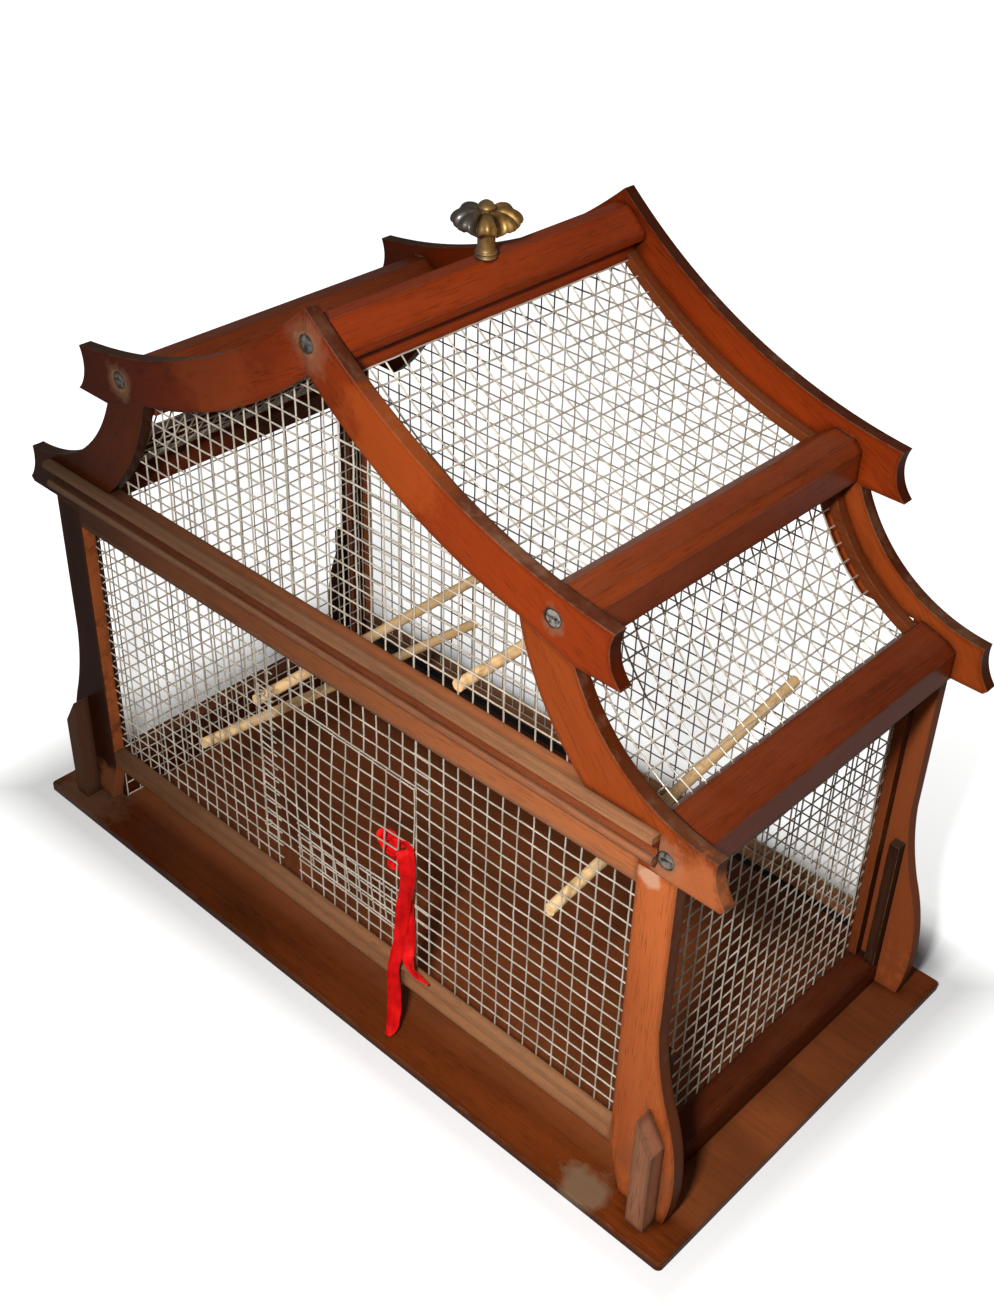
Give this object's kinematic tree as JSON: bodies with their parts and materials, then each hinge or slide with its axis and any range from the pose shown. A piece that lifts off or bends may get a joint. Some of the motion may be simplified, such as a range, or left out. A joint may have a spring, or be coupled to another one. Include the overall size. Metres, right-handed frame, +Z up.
{
  "type": "bird cage",
  "caption": "House-shaped wooden bird cage with curved gables, wire netting, a netting door flap tied with a ribbon, inner perches and a brass knob on its ridge",
  "frame": {"origin": "middle of the base board's underside, which the cage stands on", "axes": "+Z up; +X to the right along the gables, seen from the door; +Y from the door to the rear, along the ridge"},
  "size_m": [0.672, 0.342, 0.5718],
  "materials": {
    "varnished_wood": "worn shellac",
    "dark_wood": "dark stained, dusty",
    "raw_wood": "bare",
    "galvanised_wire": "galvanised",
    "screw_steel": "dull",
    "brass": "tarnished",
    "ribbon": "satin"
  },
  "bodies": {
    "cage": {"base_board": "varnished_wood", "front_post_left": "varnished_wood", "front_post_right": "varnished_wood", "front_lower_rafter_left": "varnished_wood", "front_lower_rafter_right": "varnished_wood", "front_upper_rafter_left": "varnished_wood", "front_upper_rafter_right": "varnished_wood", "front_bottom_rail": "varnished_wood", "front_mid_rail": "varnished_wood", "rear_post_left": "varnished_wood", "rear_post_right": "varnished_wood", "rear_lower_rafter_left": "varnished_wood", "rear_lower_rafter_right": "varnished_wood", "rear_upper_rafter_left": "varnished_wood", "rear_upper_rafter_right": "varnished_wood", "rear_bottom_rail": "varnished_wood", "front_moulding": "varnished_wood", "foot_bracket_left": "varnished_wood", "foot_bracket_right": "varnished_wood", "ridge_beam": "dark_wood", "upper_eave_rail_left": "dark_wood", "upper_eave_rail_right": "dark_wood", "lower_eave_rail_left": "dark_wood", "lower_eave_rail_right": "dark_wood", "side_bottom_rail_left": "varnished_wood", "side_bottom_rail_right": "varnished_wood", "front_rafter_beads": "varnished_wood", "rear_rafter_beads": "varnished_wood", "front_post_beads": "varnished_wood", "rear_post_beads": "varnished_wood", "front_guide_laths": "varnished_wood", "rear_guide_laths": "varnished_wood", "front_net_left": "galvanised_wire", "front_net_right": "galvanised_wire", "front_net_over_door": "galvanised_wire", "front_net_under_door": "galvanised_wire", "front_net_upper": "galvanised_wire", "rear_net": "galvanised_wire", "side_net_left": "galvanised_wire", "side_net_right": "galvanised_wire", "roof_net_upper_left": "galvanised_wire", "roof_net_upper_right": "galvanised_wire", "roof_net_lower_left": "galvanised_wire", "roof_net_lower_right": "galvanised_wire", "door_rings": "galvanised_wire", "perch_far_left": "raw_wood", "perch_left": "raw_wood", "perch_right": "raw_wood", "perch_upper": "raw_wood", "knob": "brass", "gable_screws": "screw_steel"},
    "door": {"door_flap": "galvanised_wire", "door_ribbon": "ribbon"}
  },
  "joints": [
    {"name": "door_hinge", "type": "hinge", "parent": "cage", "child": "door", "pos_m": [-0.0806, -0.1375, 0.1622], "axis": [0, 0, -1], "range_deg": [0, 110]}
  ]
}
